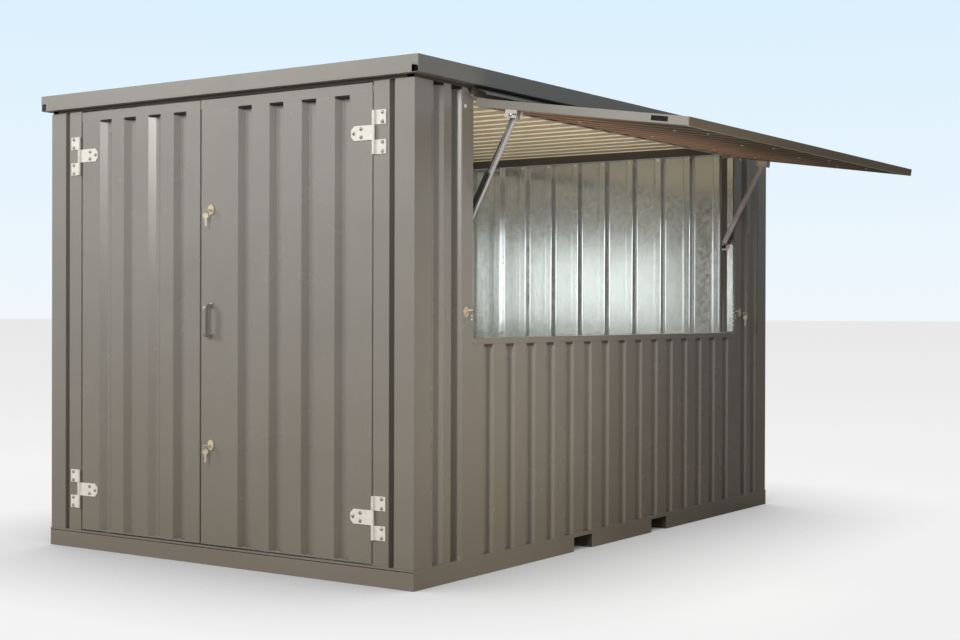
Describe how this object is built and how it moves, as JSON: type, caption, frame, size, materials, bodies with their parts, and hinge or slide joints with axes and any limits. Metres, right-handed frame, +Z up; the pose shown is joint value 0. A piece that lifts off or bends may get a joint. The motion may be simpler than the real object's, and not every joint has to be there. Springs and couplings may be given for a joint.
{
  "type": "flat-pack kiosk",
  "caption": "Grey steel flat-pack kiosk: ribbed walls, double doors with T-hinges, and a serving hatch under a lift-up flap on gas struts.",
  "frame": {"origin": "middle of the door side at ground level, on the outer lower edge of the front base rail", "axes": "+X across the door side towards the hatch side, +Y into the room along the hatch side, +Z up"},
  "size_m": [3.2234, 3.5175, 2.15],
  "materials": {
    "grey_paint": "satin",
    "dark_paint": "satin",
    "zinc_plated_steel": "satin",
    "galvanised_steel": "satin",
    "plywood": "matte",
    "brass": "polished",
    "black_paint": "gloss"
  },
  "bodies": {
    "kiosk": {"base_rail_front": "grey_paint", "base_rail_back": "grey_paint", "base_rail_left": "grey_paint", "base_rail_right": "grey_paint", "door_sill": "grey_paint", "corner_post_front_left": "grey_paint", "corner_post_front_right": "grey_paint", "corner_post_back_left": "grey_paint", "corner_post_back_right": "grey_paint", "door_stile_left": "grey_paint", "door_stile_right": "grey_paint", "back_wall": "grey_paint", "left_wall": "grey_paint", "hatch_wall_front_panel": "grey_paint", "hatch_wall_lower_panel": "grey_paint", "hatch_wall_back_panel": "grey_paint", "hatch_jamb_front": "grey_paint", "hatch_jamb_back": "grey_paint", "hatch_sill": "grey_paint", "hatch_header": "grey_paint", "hatch_drip_strip": "grey_paint", "roof_fascia_front": "grey_paint", "roof_fascia_back": "grey_paint", "roof_gutter_left": "grey_paint", "roof_gutter_right": "grey_paint", "fork_tunnels": "dark_paint", "floor_bearers": "dark_paint", "top_ring": "dark_paint", "flap_hinge_plates": "dark_paint", "hinge_plates_left": "zinc_plated_steel", "hinge_plates_right": "zinc_plated_steel", "strut_wall_brackets": "zinc_plated_steel", "roof_sheet": "galvanised_steel", "floor_boards": "plywood", "hatch_locks": "brass"},
    "door_left": {"left_leaf_sheet": "grey_paint", "left_leaf_frame": "grey_paint", "left_hinge_straps": "zinc_plated_steel"},
    "door_right": {"right_leaf_sheet": "grey_paint", "right_leaf_frame": "grey_paint", "right_hinge_straps": "zinc_plated_steel", "door_handle": "dark_paint", "door_locks": "brass"},
    "flap": {"flap_sheet": "grey_paint", "flap_edges": "grey_paint", "flap_hinge_knuckles": "dark_paint", "flap_strut_brackets": "zinc_plated_steel"},
    "stay_front": {"stay_bar_front": "galvanised_steel"},
    "stay_back": {"stay_bar_back": "galvanised_steel"},
    "cylinder_front": {"gas_cylinder_front": "black_paint"},
    "cylinder_back": {"gas_cylinder_back": "black_paint"}
  },
  "joints": [
    {"name": "door_left_hinge", "type": "hinge", "parent": "kiosk", "child": "door_left", "pos_m": [-0.884, -0.005, 1.075], "axis": [0, 0, -1], "range_deg": [0, 180]},
    {"name": "door_right_hinge", "type": "hinge", "parent": "kiosk", "child": "door_right", "pos_m": [0.884, -0.005, 1.075], "axis": [0, 0, 1], "range_deg": [0, 180]},
    {"name": "flap_hinge", "type": "hinge", "parent": "kiosk", "child": "flap", "pos_m": [1.093, 1.7225, 2.032], "axis": [0, 1, 0], "range_deg": [0, 81.6]},
    {"name": "stay_front_swing", "type": "hinge", "parent": "flap", "child": "stay_front", "pos_m": [1.26696, 0.442, 1.94364], "axis": [0, -1, 0], "range_deg": [0, 108.93]},
    {"name": "cylinder_front_slide", "type": "slide", "parent": "stay_front", "child": "cylinder_front", "axis": [0.4739, 0, 0.8806], "range_m": [0, 0.1577]},
    {"name": "stay_back_swing", "type": "hinge", "parent": "flap", "child": "stay_back", "pos_m": [1.26696, 3.003, 1.94364], "axis": [0, -1, 0], "range_deg": [0, 108.93]},
    {"name": "cylinder_back_slide", "type": "slide", "parent": "stay_back", "child": "cylinder_back", "axis": [0.4739, 0, 0.8806], "range_m": [0, 0.1577]}
  ],
  "couplings": [
    {"joint": "stay_front_swing", "follows": "flap_hinge", "ratio": 1.3347},
    {"joint": "cylinder_front_slide", "follows": "flap_hinge", "m_per_rad": 0.11062},
    {"joint": "stay_back_swing", "follows": "flap_hinge", "ratio": 1.3347},
    {"joint": "cylinder_back_slide", "follows": "flap_hinge", "m_per_rad": 0.11062}
  ]
}
